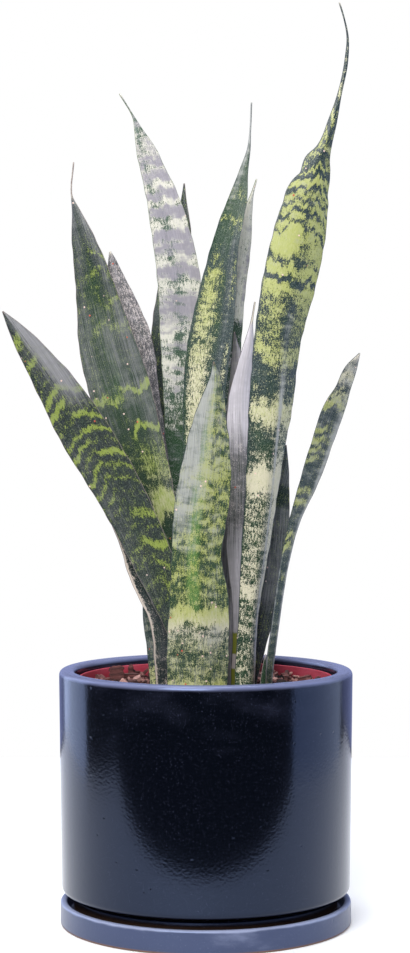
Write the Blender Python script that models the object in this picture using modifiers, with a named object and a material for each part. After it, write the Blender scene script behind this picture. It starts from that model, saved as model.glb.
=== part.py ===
"""Potted snake plant, in metres, +Z up.

Sixteen sword leaves stand in bark mix in a thin plastic nursery pot. The nursery pot stands inside
a thick glazed pot, and the glazed pot stands on its own saucer. The origin is the centre of the
saucer's flat underside, and the plant's front looks along -Y.
"""

from math import cos, pi, radians, sin

import bmesh
import bpy
import numpy as np
from mathutils import Matrix

# Overall sizes
POT_RADIUS = 0.087  # glazed pot, outside its rim
POT_HEIGHT = 0.1442  # glazed pot, from its foot to the top of its rim
PLANT_HEIGHT = 0.406  # from the soil to the tallest leaf's tip
DRAWN_HEIGHT = 0.406  # the plant height that the leaves' stations below are given for

# Gaps
REST = 0.0003  # between a piece and what it stands on
CLEAR = 0.0004  # between a leaf's foot and the soil around it

# Saucer
SAUCER_RADIUS = POT_RADIUS - 0.0007
SAUCER_HEIGHT = 0.014
SAUCER_FLOOR = 0.006
SAUCER_WALL = 0.0045
SAUCER_CHAMFER = 0.0012

# Glazed pot
POT_WALL = 0.0093
POT_TAPER = 0.0015  # how much narrower the body is at its lower edge
POT_LIP = 0.0028  # rounding of the rim
POT_UNDERCUT = 0.0137  # height of the narrower foot under the body
POT_FOOT_RADIUS = SAUCER_RADIUS - SAUCER_WALL - 0.0036
POT_FOOT_WIDTH = 0.008
POT_FOOT_RELIEF = 0.004
POT_FLOOR = 0.006
POT_HOLE = 0.010

# Nursery pot
NURSERY_GAP = 0.0022  # between its rim and the glazed pot's opening
NURSERY_WALL = 0.0012
NURSERY_COLLAR = 0.012
NURSERY_STEP = 0.0016  # how far the collar stands out from the body
NURSERY_TAPER = 0.019
NURSERY_BELOW_RIM = 0.0045  # how far its rim lies below the glazed pot's rim
NURSERY_HOLE = 0.0045
NURSERY_HOLES = 6

# Soil and leaf feet
SOIL_BELOW_RIM = 0.0090  # how far the soil lies below the nursery pot's rim
BURIED = 0.026  # depth of a leaf's foot in the soil

ROUND_STEPS = 40
LEAF_COLUMNS = 4
ROWS_BETWEEN_STATIONS = 2
LEAST_WIDTH = 0.0010  # a leaf's dried tip
POCKET_ROWS = 2 * ROWS_BETWEEN_STATIONS + 1

POT_BASE = SAUCER_FLOOR + REST
POT_TOP = POT_BASE + POT_HEIGHT
POT_FLOOR_TOP = POT_BASE + POT_FOOT_RELIEF + POT_FLOOR
NURSERY_BASE = POT_FLOOR_TOP + REST
NURSERY_TOP = POT_TOP - NURSERY_BELOW_RIM
NURSERY_RADIUS = POT_RADIUS - POT_WALL - NURSERY_GAP
SOIL_TOP = NURSERY_TOP - SOIL_BELOW_RIM
SOIL_BASE = NURSERY_BASE + NURSERY_WALL + REST


def clear_scene():
    """Remove the objects that the file opened with."""
    for obj in list(bpy.data.objects):
        bpy.data.objects.remove(obj, do_unlink=True)


def new_collection(name):
    """A new collection in the scene."""
    collection = bpy.data.collections.new(name)
    bpy.context.scene.collection.children.link(collection)
    return collection


def add_object(name, mesh, collection):
    """A new object from a mesh, in a collection."""
    obj = bpy.data.objects.new(name, mesh)
    collection.objects.link(obj)
    return obj


def paint(obj, colour, roughness):
    """Give an object a Principled material of its own."""
    material = bpy.data.materials.new(obj.name)
    material.use_nodes = True
    shader = material.node_tree.nodes["Principled BSDF"]
    shader.inputs["Base Color"].default_value = (*colour, 1.0)
    shader.inputs["Roughness"].default_value = roughness
    shader.inputs["Metallic"].default_value = 0.0
    obj.data.materials.append(material)


def arc(radius, height, bend, start, end, steps=4):
    """Points (radius, height) along an arc, its angles in degrees up from straight outwards."""
    angles = [radians(start + (end - start) * i / steps) for i in range(steps + 1)]
    return [(radius + bend * cos(a), height + bend * sin(a)) for a in angles]


def turned(name, profile, closed, collection):
    """A turned piece: a profile of (radius, height) points, run down its outer side."""
    mesh = bpy.data.meshes.new(name)
    last = len(profile) - 1
    edges = [(i, i + 1) for i in range(last)]
    if closed:
        edges.append((last, 0))
    mesh.from_pydata([(radius, 0.0, height) for radius, height in profile], edges, [])
    obj = add_object(name, mesh, collection)
    screw = obj.modifiers.new("turn", "SCREW")
    screw.axis = "Z"
    screw.angle = 2 * pi
    screw.steps = ROUND_STEPS
    screw.render_steps = ROUND_STEPS
    screw.use_merge_vertices = True
    screw.merge_threshold = 0.00001
    screw.use_smooth_shade = True
    return obj


def cut(obj, cutter):
    """Cut a closed shape out of an object."""
    cutter.hide_render = True
    cutter.display_type = "WIRE"
    boolean = obj.modifiers.new("cut " + cutter.name, "BOOLEAN")
    boolean.operation = "DIFFERENCE"
    boolean.solver = "EXACT"
    boolean.object = cutter


def make_saucer():
    """A shallow round saucer with a flat underside and an upright rim."""
    inner = SAUCER_RADIUS - SAUCER_WALL
    bend = SAUCER_WALL / 2
    profile = [(0.0, SAUCER_FLOOR), (inner - 0.002, SAUCER_FLOOR), (inner, SAUCER_FLOOR + 0.002)]
    profile += arc(inner + bend, SAUCER_HEIGHT - bend, bend, 180, 0, 6)
    profile += [
        (SAUCER_RADIUS, SAUCER_CHAMFER * 2),
        (SAUCER_RADIUS - SAUCER_CHAMFER, 0.0),
        (0.0, 0.0),
    ]
    saucer = turned("saucer", profile, False, parts)
    paint(saucer, (0.035, 0.042, 0.060), 0.35)


def make_glazed_pot():
    """The thick outer pot: straight body, narrower foot ring and one drain hole."""
    low = POT_RADIUS - POT_TAPER
    edge = POT_BASE + POT_UNDERCUT
    inner = POT_RADIUS - POT_WALL
    foot_in = POT_FOOT_RADIUS - POT_FOOT_WIDTH
    relief = POT_BASE + POT_FOOT_RELIEF
    profile = arc(POT_RADIUS - POT_LIP, POT_TOP - POT_LIP, POT_LIP, 90, 0, 3)
    profile += [
        (low, edge + 0.002),
        (low - 0.002, edge),
        (POT_FOOT_RADIUS, edge - 0.002),
        (POT_FOOT_RADIUS, POT_BASE),
        (foot_in, POT_BASE),
        (foot_in, relief),
        (POT_HOLE, relief),
        (POT_HOLE, POT_FLOOR_TOP),
        (inner - 0.010, POT_FLOOR_TOP),
        (inner, POT_FLOOR_TOP + 0.010),
    ]
    profile += arc(inner + POT_LIP, POT_TOP - POT_LIP, POT_LIP, 180, 90, 3)
    pot = turned("glazed_pot", profile, True, parts)
    paint(pot, (0.012, 0.014, 0.024), 0.15)


def nursery_radius(height):
    """Outer radius of the nursery pot's tapered body at a height."""
    rise = (height - NURSERY_BASE) / (NURSERY_TOP - NURSERY_BASE)
    return NURSERY_RADIUS - NURSERY_STEP - NURSERY_TAPER * (1 - rise)


def make_nursery_pot():
    """The thin plastic pot: a tapered body with a collar, and drain holes through its floor."""
    collar = NURSERY_TOP - NURSERY_COLLAR
    floor_radius = nursery_radius(NURSERY_BASE)
    floor_top = NURSERY_BASE + NURSERY_WALL
    profile = [
        (NURSERY_RADIUS, NURSERY_TOP),
        (NURSERY_RADIUS, collar),
        (nursery_radius(collar), collar - 0.001),
        (floor_radius, NURSERY_BASE),
        (NURSERY_HOLE, NURSERY_BASE),
        (NURSERY_HOLE, floor_top),
        (nursery_radius(floor_top) - NURSERY_WALL, floor_top),
        (nursery_radius(collar) - NURSERY_WALL, collar - 0.001),
        (NURSERY_RADIUS - NURSERY_WALL, collar + 0.0012),
        (NURSERY_RADIUS - NURSERY_WALL, NURSERY_TOP),
    ]
    pot = turned("nursery_pot", profile, True, parts)
    paint(pot, (0.30, 0.035, 0.045), 0.40)
    holes = bmesh.new()
    ring = floor_radius * 0.68
    for i in range(NURSERY_HOLES):
        angle = 2 * pi * i / NURSERY_HOLES
        place = Matrix.Translation((ring * cos(angle), ring * sin(angle), NURSERY_BASE))
        bmesh.ops.create_cone(
            holes,
            cap_ends=True,
            segments=12,
            radius1=NURSERY_HOLE,
            radius2=NURSERY_HOLE,
            depth=NURSERY_WALL * 6,
            matrix=place,
        )
    mesh = bpy.data.meshes.new("drain_holes")
    holes.to_mesh(mesh)
    holes.free()
    cut(pot, add_object("drain_holes", mesh, cutters))


def make_soil():
    """The bark mix: it fills the nursery pot up to a little below its rim."""
    low = nursery_radius(SOIL_BASE) - NURSERY_WALL - REST
    high = nursery_radius(SOIL_TOP) - NURSERY_WALL - REST
    form = bmesh.new()
    bmesh.ops.create_cone(
        form,
        cap_ends=True,
        segments=ROUND_STEPS,
        radius1=low,
        radius2=high,
        depth=SOIL_TOP - SOIL_BASE,
        matrix=Matrix.Translation((0, 0, (SOIL_TOP + SOIL_BASE) / 2)),
    )
    mesh = bpy.data.meshes.new("potting_soil")
    form.to_mesh(mesh)
    form.free()
    block = add_object("potting_soil", mesh, parts)
    paint(block, (0.10, 0.040, 0.025), 0.90)
    return block


def smooth(at, places, values):
    """Read a smooth curve through values given at rising places (cubic, three-point slopes)."""
    gaps = np.diff(places)
    rises = np.diff(values) / gaps
    slopes = np.empty(len(values))
    slopes[1:-1] = (rises[:-1] * gaps[1:] + rises[1:] * gaps[:-1]) / (gaps[:-1] + gaps[1:])
    slopes[0] = rises[0]
    slopes[-1] = rises[-1]
    k = np.clip(np.searchsorted(places, at, side="right") - 1, 0, len(gaps) - 1)
    t = (at - places[k]) / gaps[k]
    start = (1 + 2 * t) * (1 - t) ** 2 * values[k] + t * (1 - t) ** 2 * gaps[k] * slopes[k]
    end = t**2 * (3 - 2 * t) * values[k + 1] + t**2 * (t - 1) * gaps[k] * slopes[k + 1]
    return start + end


def leaf_sheet(name, foot_y, tip_y, facing, turn, fold, thick, stations, grow, collection):
    """A leaf as a shaped grid with Solidify.

    stations: (height over the soil, x, width) in millimetres, from the soil up to the tip
    foot_y, tip_y: how far back its foot and its tip lie, in millimetres; it arches in between
    facing, turn: where the face looks, in degrees from the front towards +X, and its twist by the tip
    fold: how far the margins stand forward of the middle, as a share of half the width
    thick: thickness of the foot's middle in millimetres
    grow: 0 for the leaf itself; for the soil's pocket around its foot, the gap left all round
    """
    scale = 0.001 * PLANT_HEIGHT / DRAWN_HEIGHT
    table = np.array([(0.0, *stations[0][1:])] + stations) * scale
    table[0, 0] = -BURIED
    heights, centres, widths = table.T
    row_places = np.linspace(0, len(heights) - 1, (len(heights) - 1) * ROWS_BETWEEN_STATIONS + 1)
    h = np.interp(row_places, np.arange(len(heights)), heights)
    share = np.clip(h / heights[-1], 0, 1)
    back = (foot_y + (tip_y - foot_y) * share**2) * scale
    spine = np.stack([smooth(h, heights, centres), back, h], axis=1)
    width = np.maximum(smooth(h, heights, widths), LEAST_WIDTH)
    along = np.gradient(spine, axis=0)
    along /= np.linalg.norm(along, axis=1, keepdims=True)
    look = np.radians(facing + turn * share)
    face = np.stack([np.sin(look), -np.cos(look), np.zeros_like(look)], axis=1)
    across = np.cross(face, along) * -1
    across /= np.linalg.norm(across, axis=1, keepdims=True)
    face = np.cross(across, along)

    u = np.linspace(-1, 1, LEAF_COLUMNS + 1)
    half = width / 2 + grow
    bend = fold * (1 - 0.6 * share) * width / 2
    side = half[:, None, None] * u[None, :, None] * across[:, None, :]
    lift = bend[:, None, None] * np.abs(u[None, :, None]) ** 1.5 * face[:, None, :]
    points = spine[:, None, :] + side + lift
    points[..., 2] += SOIL_TOP
    middle = np.minimum(thick * scale * (1 - 0.55 * share), 0.25 * width + 0.0008)
    thickness = middle[:, None] * (1 - 0.72 * u[None, :] ** 2) + 2 * grow
    if grow:
        points = points[:POCKET_ROWS]
        points[0, :, 2] -= grow
        thickness = thickness[:POCKET_ROWS]

    grid = bmesh.new()
    bmesh.ops.create_grid(grid, x_segments=LEAF_COLUMNS, y_segments=len(points) - 1, size=1)
    mesh = bpy.data.meshes.new(name)
    grid.to_mesh(mesh)
    grid.free()
    mesh.vertices.foreach_set("co", points.ravel())
    obj = add_object(name, mesh, collection)
    group = obj.vertex_groups.new(name="thickness")
    most = float(thickness.max())
    for index, value in enumerate(thickness.ravel()):
        group.add([index], float(value) / most, "REPLACE")
    solidify = obj.modifiers.new("thickness", "SOLIDIFY")
    solidify.thickness = most
    solidify.offset = 0.0
    solidify.vertex_group = group.name
    return obj


def leaf(name, colour, roughness, **shape):
    """One leaf, and the pocket that its foot fills in the soil."""
    blade = leaf_sheet(name, grow=0.0, collection=parts, **shape)
    blade.data.shade_smooth()
    paint(blade, colour, roughness)
    pocket = leaf_sheet("pocket_" + name, grow=CLEAR, collection=cutters, **shape)
    cut(soil, pocket)


def chip(name, colour, turn, share, spin, lean, size):
    """A piece of bark lying on the soil, with worn edges.

    turn, share: where it lies, as a direction in degrees from +X and a share of the soil's radius
    spin, lean: how it is turned about the upright and how far its long side leans up, in degrees
    size: length, breadth and thickness in millimetres
    """
    length, breadth, height = (value * 0.001 for value in size)
    form = bmesh.new()
    bmesh.ops.create_cube(form, size=1, matrix=Matrix.Diagonal((length, breadth, height, 1)))
    for corner in form.verts:
        if corner.co.x > 0:
            corner.co.y *= 0.7
    bmesh.ops.rotate(form, verts=form.verts, matrix=Matrix.Rotation(radians(-lean), 3, "Y"))
    mesh = bpy.data.meshes.new(name)
    form.to_mesh(mesh)
    form.free()
    piece = add_object(name, mesh, parts)
    lowest = min(vertex.co.z for vertex in mesh.vertices)
    reach = share * (NURSERY_RADIUS - NURSERY_WALL)
    angle = radians(turn)
    piece.location = (reach * cos(angle), reach * sin(angle), SOIL_TOP + REST - lowest)
    piece.rotation_euler = (0, 0, radians(spin))
    bevel = piece.modifiers.new("worn edges", "BEVEL")
    bevel.width = min(length, breadth, height) * 0.18
    bevel.segments = 1
    bevel.limit_method = "NONE"
    paint(piece, colour, 0.85)


def make_leaves():
    """The clump, roughly from the front of the pot to its back."""
    green = (0.10, 0.17, 0.06)
    deep = (0.03, 0.06, 0.03)
    grey = (0.30, 0.29, 0.31)
    pale = (0.50, 0.52, 0.40)

    leaf(
        "leaf_front", green, 0.40,
        foot_y=-42, tip_y=-60, facing=6, turn=0, fold=-0.22, thick=5.0,
        stations=[
            (0, -4.6, 35.2),
            (30, -4.2, 36.2),
            (60, -3.7, 34.2),
            (82, -5.2, 29.2),
            (105, -3.1, 31.2),
            (122, -0.8, 31.1),
            (144, 1.2, 26.1),
            (160, 2.4, 20.0),
            (174, 4.2, 13.0),
            (185, 5.3, 6.5),
            (194, 4.4, 1.0),
        ],
    )
    leaf(
        "leaf_left_low", deep, 0.45,
        foot_y=-28, tip_y=-42, facing=-22, turn=0, fold=0.22, thick=5.0,
        stations=[
            (0, -5.6, 15.0),
            (40, -13.0, 20.3),
            (78, -28.9, 26.1),
            (120, -49.2, 29.7),
            (158, -71.9, 30.7),
            (180, -85.3, 25.4),
            (195, -95.6, 19.0),
            (210, -106.4, 11.6),
            (223, -116.1, 1.0),
        ],
    )
    leaf(
        "leaf_left_broad", deep, 0.40,
        foot_y=4, tip_y=26, facing=-24, turn=0, fold=0.22, thick=5.0,
        stations=[
            (0, -16.6, 15.0),
            (60, -22.5, 21.4),
            (115, -31.4, 31.0),
            (145, -39.9, 36.4),
            (177, -49.4, 40.7),
            (207, -58.3, 37.6),
            (230, -63.5, 30.1),
            (252, -68.6, 22.6),
            (274, -74.6, 13.4),
            (287, -78.0, 5.4),
            (294, -80.2, 1.7),
            (316, -79.6, 1.0),
        ],
    )
    leaf(
        "leaf_left_rear", grey, 0.55,
        foot_y=14, tip_y=33, facing=8, turn=0, fold=-0.18, thick=4.5,
        stations=[
            (0, -21.1, 12.9),
            (60, -24.1, 16.9),
            (120, -30.1, 20.0),
            (175, -38.3, 22.0),
            (211, -43.0, 20.6),
            (234, -50.2, 15.1),
            (249, -54.9, 9.6),
            (258, -56.8, 4.6),
            (263, -58.0, 1.0),
        ],
    )
    leaf(
        "leaf_pale_tall", pale, 0.45,
        foot_y=29, tip_y=54, facing=26, turn=0, fold=0.20, thick=5.0,
        stations=[
            (0, -6.4, 15.3),
            (60, -9.4, 19.6),
            (120, -13.5, 24.0),
            (173, -14.5, 26.8),
            (211, -16.0, 27.9),
            (251, -17.6, 29.3),
            (275, -21.8, 26.6),
            (297, -27.0, 21.8),
            (314, -32.8, 16.9),
            (328, -37.5, 12.6),
            (338, -41.2, 6.1),
            (345, -43.7, 2.2),
            (361, -52.9, 1.0),
        ],
    )
    leaf(
        "leaf_dark_rear", deep, 0.50,
        foot_y=44, tip_y=70, facing=-18, turn=0, fold=0.15, thick=4.0,
        stations=[
            (0, -11.8, 12.6),
            (80, -14.8, 17.9),
            (160, -18.9, 25.3),
            (213, -20.1, 28.6),
            (239, -18.3, 25.0),
            (267, -16.0, 17.6),
            (285, -14.2, 9.4),
            (298, -13.7, 3.7),
            (308, -13.4, 1.0),
        ],
    )
    leaf(
        "leaf_centre_tall", green, 0.40,
        foot_y=9, tip_y=20, facing=-22, turn=0, fold=0.22, thick=5.0,
        stations=[
            (0, 1.3, 14.8),
            (80, -0.6, 22.2),
            (155, -0.1, 28.0),
            (173, -0.3, 27.5),
            (197, 1.6, 28.6),
            (221, 5.1, 27.0),
            (244, 8.7, 23.0),
            (262, 11.3, 18.6),
            (280, 15.7, 15.4),
            (292, 19.1, 12.7),
            (311, 23.0, 5.5),
            (323, 25.7, 2.3),
            (334, 26.6, 1.0),
            (351, 27.3, 1.0),
        ],
    )
    leaf(
        "leaf_narrow_pale", pale, 0.45,
        foot_y=29, tip_y=46, facing=28, turn=0, fold=0.15, thick=4.0,
        stations=[
            (0, 8.8, 11.0),
            (100, 11.8, 14.3),
            (209, 14.5, 16.0),
            (246, 17.6, 16.0),
            (270, 22.1, 12.7),
            (288, 25.5, 6.6),
            (299, 28.3, 2.2),
            (308, 31.0, 1.0),
        ],
    )
    leaf(
        "leaf_tallest", green, 0.40,
        foot_y=-26, tip_y=-4, facing=35, turn=-20, fold=-0.35, thick=5.5,
        stations=[
            (0, 24.0, 15.0),
            (56, 26.8, 15.2),
            (80, 29.5, 18.6),
            (116, 33.7, 22.4),
            (145, 36.7, 25.7),
            (174, 40.0, 29.5),
            (209, 43.6, 31.2),
            (244, 50.8, 34.5),
            (266, 55.5, 34.1),
            (283, 58.8, 30.4),
            (295, 61.3, 26.1),
            (301, 63.8, 21.1),
            (312, 66.0, 16.4),
            (318, 68.6, 10.8),
            (337, 74.6, 5.6),
            (350, 77.9, 3.0),
            (372, 82.4, 2.4),
            (387, 83.0, 1.3),
            (397, 81.0, 1.0),
            (406, 78.4, 1.0),
        ],
    )
    leaf(
        "leaf_grey_centre", grey, 0.55,
        foot_y=-7, tip_y=4, facing=16, turn=0, fold=-0.18, thick=4.5,
        stations=[
            (0, 20.8, 12.5),
            (56, 23.0, 15.6),
            (84, 21.3, 18.7),
            (114, 21.8, 18.2),
            (143, 21.3, 17.7),
            (173, 20.8, 15.4),
            (191, 22.8, 10.2),
            (208, 25.8, 5.6),
            (219, 27.2, 1.7),
            (231, 29.1, 1.0),
        ],
    )
    leaf(
        "leaf_grey_rear", grey, 0.55,
        foot_y=16, tip_y=24, facing=-20, turn=0, fold=-0.15, thick=4.0,
        stations=[
            (0, 12.9, 10.5),
            (80, 14.9, 12.6),
            (143, 17.4, 12.6),
            (173, 17.7, 10.5),
            (185, 18.3, 8.9),
            (200, 18.7, 6.8),
            (208, 17.7, 3.2),
            (214, 17.3, 1.0),
        ],
    )
    leaf(
        "leaf_right_low", green, 0.40,
        foot_y=-24, tip_y=-46, facing=50, turn=-15, fold=0.30, thick=4.5,
        stations=[
            (0, 34.9, 8.1),
            (45, 40.1, 7.0),
            (80, 45.4, 7.8),
            (103, 50.8, 9.2),
            (126, 58.8, 14.6),
            (150, 66.6, 16.9),
            (167, 72.4, 16.9),
            (178, 77.5, 11.9),
            (190, 82.3, 8.9),
            (199, 87.6, 1.0),
        ],
    )
    leaf(
        "leaf_dark_right", deep, 0.50,
        foot_y=4, tip_y=20, facing=20, turn=0, fold=0.20, thick=4.5,
        stations=[
            (0, 23.8, 11.5),
            (24, 28.8, 12.6),
            (54, 35.8, 15.7),
            (90, 39.9, 21.0),
            (113, 41.7, 17.9),
            (131, 45.7, 9.1),
            (146, 48.1, 1.0),
        ],
    )
    leaf(
        "leaf_left_base", deep, 0.45,
        foot_y=-13, tip_y=-6, facing=30, turn=0, fold=0.35, thick=4.5,
        stations=[
            (0, -24.0, 14.0),
            (20, -23.8, 18.0),
            (44, -26.0, 19.0),
            (70, -37.0, 20.0),
            (92, -47.1, 12.0),
            (108, -57.2, 4.0),
            (114, -60.3, 1.0),
        ],
    )
    leaf(
        "leaf_stub_left", green, 0.50,
        foot_y=0, tip_y=5, facing=-25, turn=0, fold=0.20, thick=4.0,
        stations=[
            (0, -26.1, 14.1),
            (30, -29.4, 13.1),
            (44, -33.4, 8.7),
            (53, -36.1, 3.3),
            (56, -37.2, 1.0),
        ],
    )
    leaf(
        "shoot_dark", deep, 0.40,
        foot_y=-37, tip_y=-38, facing=0, turn=0, fold=0.00, thick=3.5,
        stations=[
            (0, 32.6, 4.0),
            (10, 33.0, 3.4),
            (20, 33.8, 2.2),
            (26, 34.4, 1.0),
        ],
    )


def make_chips():
    """The largest loose pieces of bark, which lie at the back where the rim doesn't hide them."""
    bark = (0.16, 0.075, 0.05)
    pale_bark = (0.30, 0.17, 0.12)
    chip("bark_chip_1", pale_bark, 147, 0.87, -8, 6, (10.0, 3.2, 10.5))
    chip("bark_chip_2", bark, 136, 0.86, -4, 4, (13.5, 4.6, 5.0))
    chip("bark_chip_3", pale_bark, 132, 0.93, 10, 0, (3.6, 2.6, 10.0))
    chip("bark_chip_4", bark, 17, 0.84, 8, 12, (10.0, 5.0, 6.0))
    chip("bark_chip_5", pale_bark, 40, 0.84, 20, 10, (8.0, 4.5, 4.0))
    chip("bark_chip_6", bark, 160, 0.86, 40, 8, (8.0, 4.5, 4.6))


clear_scene()
parts = new_collection("potted_snake_plant")
cutters = new_collection("cutters")
make_saucer()
make_glazed_pot()
make_nursery_pot()
soil = make_soil()
make_leaves()
make_chips()
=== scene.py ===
"""Potted snake plant: sixteen sword leaves in bark mix, in a red nursery pot, in a glazed pot on
its saucer. Metres, +Z up; the origin is the middle of the saucer's underside."""

import bmesh
import bpy
import numpy as np
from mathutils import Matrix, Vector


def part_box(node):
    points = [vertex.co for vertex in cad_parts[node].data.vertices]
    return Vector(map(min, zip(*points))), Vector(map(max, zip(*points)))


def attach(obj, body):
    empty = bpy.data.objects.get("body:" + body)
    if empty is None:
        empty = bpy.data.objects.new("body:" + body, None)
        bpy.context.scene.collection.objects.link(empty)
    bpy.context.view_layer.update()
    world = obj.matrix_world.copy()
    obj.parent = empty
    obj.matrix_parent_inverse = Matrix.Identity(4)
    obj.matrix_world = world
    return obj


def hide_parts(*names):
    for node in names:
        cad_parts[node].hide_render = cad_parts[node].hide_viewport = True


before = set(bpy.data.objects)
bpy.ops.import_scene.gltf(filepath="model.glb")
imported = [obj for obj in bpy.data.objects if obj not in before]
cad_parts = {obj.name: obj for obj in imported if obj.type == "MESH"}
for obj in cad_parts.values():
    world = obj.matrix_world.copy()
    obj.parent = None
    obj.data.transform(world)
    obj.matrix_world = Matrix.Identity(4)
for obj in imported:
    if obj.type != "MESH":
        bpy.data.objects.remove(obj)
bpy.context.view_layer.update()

# Table, lights and camera: a white table top, matt, wide and with its front edge close to the pot.
# Two tall soft lights stand left and right of it, one hangs in front and one above. A weak blue
# one stands low behind the pot, hidden from the camera, and shows mostly in the glaze.
TABLE_SIDE = 0.62
TABLE_FRONT = -0.24
TABLE_BACK = 0.62
TABLE_THICK = 0.004


def tone(red, green, blue):
    """A colour given as screen values from 0 to 255, as linear light with full alpha."""
    share = np.array([red, green, blue]) / 255
    linear = np.where(share <= 0.04045, share / 12.92, ((share + 0.055) / 1.055) ** 2.4)
    return (*linear.tolist(), 1.0)


def add_node(tree, kind, inputs, **settings):
    """A shader node: inputs are numbers, colours or other nodes' outputs, by socket."""
    made = tree.nodes.new(kind)
    for key, value in settings.items():
        setattr(made, key, value)
    for key, value in inputs.items():
        if isinstance(value, bpy.types.NodeSocket):
            tree.links.new(value, made.inputs[key])
        else:
            made.inputs[key].default_value = value
    return made


def own_place(tree):
    """Where a point of the piece lies, in metres."""
    return add_node(tree, "ShaderNodeTexCoord", {}).outputs["Object"]


def new_finish(name, **sockets):
    """A finish with a Principled shader; sockets holds its values that are the same all over."""
    finish = bpy.data.materials.new(name)
    finish.use_nodes = True
    shader = finish.node_tree.nodes["Principled BSDF"]
    for key, value in sockets.items():
        shader.inputs[key.replace("_", " ")].default_value = value
    return finish, finish.node_tree, shader


def mix(tree, share, first, second):
    """Two colours mixed: the first where share is 0, the second where it is 1."""
    inputs = {0: share, 6: first, 7: second}
    return add_node(tree, "ShaderNodeMix", inputs, data_type="RGBA").outputs[2]


def grain(tree, place, sizes, detail=3.0, rough=0.55, shift=0.0):
    """Cloudy grain whose lumps measure sizes along the three directions of place."""
    scale = tuple(1 / size for size in sizes)
    inputs = {"Vector": place, "Location": (shift, shift, shift), "Scale": scale}
    placed = add_node(tree, "ShaderNodeMapping", inputs).outputs[0]
    inputs = {"Vector": placed, "Scale": 1.0, "Detail": detail, "Roughness": rough}
    return add_node(tree, "ShaderNodeTexNoise", inputs).outputs["Fac"]


def bump(tree, shader, height, depth):
    """Raise the surface by a height from 0 to 1 times a depth in metres."""
    inputs = {"Height": height, "Distance": depth, "Strength": 1.0}
    normal = add_node(tree, "ShaderNodeBump", inputs).outputs[0]
    tree.links.new(normal, shader.inputs["Normal"])


def make_piece(name, points, faces, finish, marks=None):
    """An object from points (n, 3), faces of point numbers, and marks: values at the points by
    name. Points that meet are merged, and then the faces are turned outwards."""
    mesh = bpy.data.meshes.new(name)
    mesh.from_pydata(points.reshape(-1, 3).tolist(), [], faces.tolist())
    for mark, values in (marks or {}).items():
        kind, field = ("FLOAT_VECTOR", "vector") if values.shape[-1:] == (3,) else ("FLOAT", "value")
        layer = mesh.attributes.new(mark, kind, "POINT")
        layer.data.foreach_set(field, values.astype(np.float32).ravel())
    form = bmesh.new()
    form.from_mesh(mesh)
    bmesh.ops.remove_doubles(form, verts=form.verts, dist=1e-7)
    bmesh.ops.recalc_face_normals(form, faces=form.faces)
    form.to_mesh(mesh)
    form.free()
    mesh.shade_smooth()
    mesh.materials.append(finish)
    piece = bpy.data.objects.new(name, mesh)
    bpy.context.scene.collection.objects.link(piece)
    return piece


table_white, tree, shader = new_finish("table_white", Roughness=0.6, Emission_Strength=0.16)
place = own_place(tree)
fleck = grain(tree, place, (0.004, 0.004, 0.004))
tree.links.new(mix(tree, fleck, tone(242, 242, 242), tone(248, 248, 248)), shader.inputs["Base Color"])
bump(tree, shader, fleck, 0.00002)
corners = [(-1, TABLE_FRONT), (1, TABLE_FRONT), (1, TABLE_BACK), (-1, TABLE_BACK)]
top = np.array([(TABLE_SIDE * side, y, 0.0) for side, y in corners])
under = top * (0.97, 0.97, 0.0) - (0.0, 0.0, TABLE_THICK)
sides = [(k, (k + 1) % 4, (k + 1) % 4 + 4, k + 4) for k in range(4)]
faces = np.array([(0, 1, 2, 3), (4, 5, 6, 7), *sides])
table = make_piece("table_top", np.vstack([top, under]), faces, table_white)
table.data.shade_flat()


def soft_light(name, place, aim, size, power, colour=(1.0, 1.0, 1.0)):
    """A soft light: a lit rectangle at place that faces aim."""
    light = bpy.data.lights.new(name, "AREA")
    light.shape = "RECTANGLE"
    light.color = colour
    light.size, light.size_y = size
    light.energy = power
    lamp = bpy.data.objects.new(name, light)
    away = np.array(place) - np.array(aim)
    lamp.location = place
    turn_z = np.arctan2(away[0], -away[1])
    lamp.rotation_euler = (np.arccos(away[2] / np.linalg.norm(away)), 0.0, turn_z)
    bpy.context.scene.collection.objects.link(lamp)


soft_light("left_light", (-0.86, 0.60, 0.32), (0.0, 0.45, 0.32), (0.80, 1.20), 6.8, (0.64, 0.75, 1.0))
soft_light("right_light", (0.80, 0.12, 0.32), (0.0, 0.12, 0.32), (0.90, 1.20), 4.2, (0.64, 0.75, 1.0))
soft_light("front_light", (-0.35, -1.20, 1.15), (0.0, 0.0, 0.30), (0.90, 0.90), 34.0)
soft_light("top_light", (-0.05, 0.25, 1.30), (0.0, 0.0, 0.20), (0.70, 0.70), 12.0)
soft_light("back_light", (0.0, 0.66, 0.15), (0.0, 0.0, 0.15), (1.70, 0.30), 0.85, (0.40, 0.48, 1.0))
bpy.data.objects["back_light"].visible_camera = False

room = bpy.data.worlds.new("room")
room.use_nodes = True
room.node_tree.nodes.clear()
seen = add_node(room.node_tree, "ShaderNodeBackground", {"Color": (1.0, 1.0, 1.0, 1.0)})
fill = add_node(room.node_tree, "ShaderNodeBackground", {"Color": (0.06, 0.065, 0.08, 1.0)})
ray = add_node(room.node_tree, "ShaderNodeLightPath", {}).outputs["Is Camera Ray"]
inputs = {0: ray, 1: fill.outputs[0], 2: seen.outputs[0]}
both = add_node(room.node_tree, "ShaderNodeMixShader", inputs)
add_node(room.node_tree, "ShaderNodeOutputWorld", {"Surface": both.outputs[0]})
bpy.context.scene.world = room
bpy.context.scene.view_settings.view_transform = "Standard"

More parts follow.
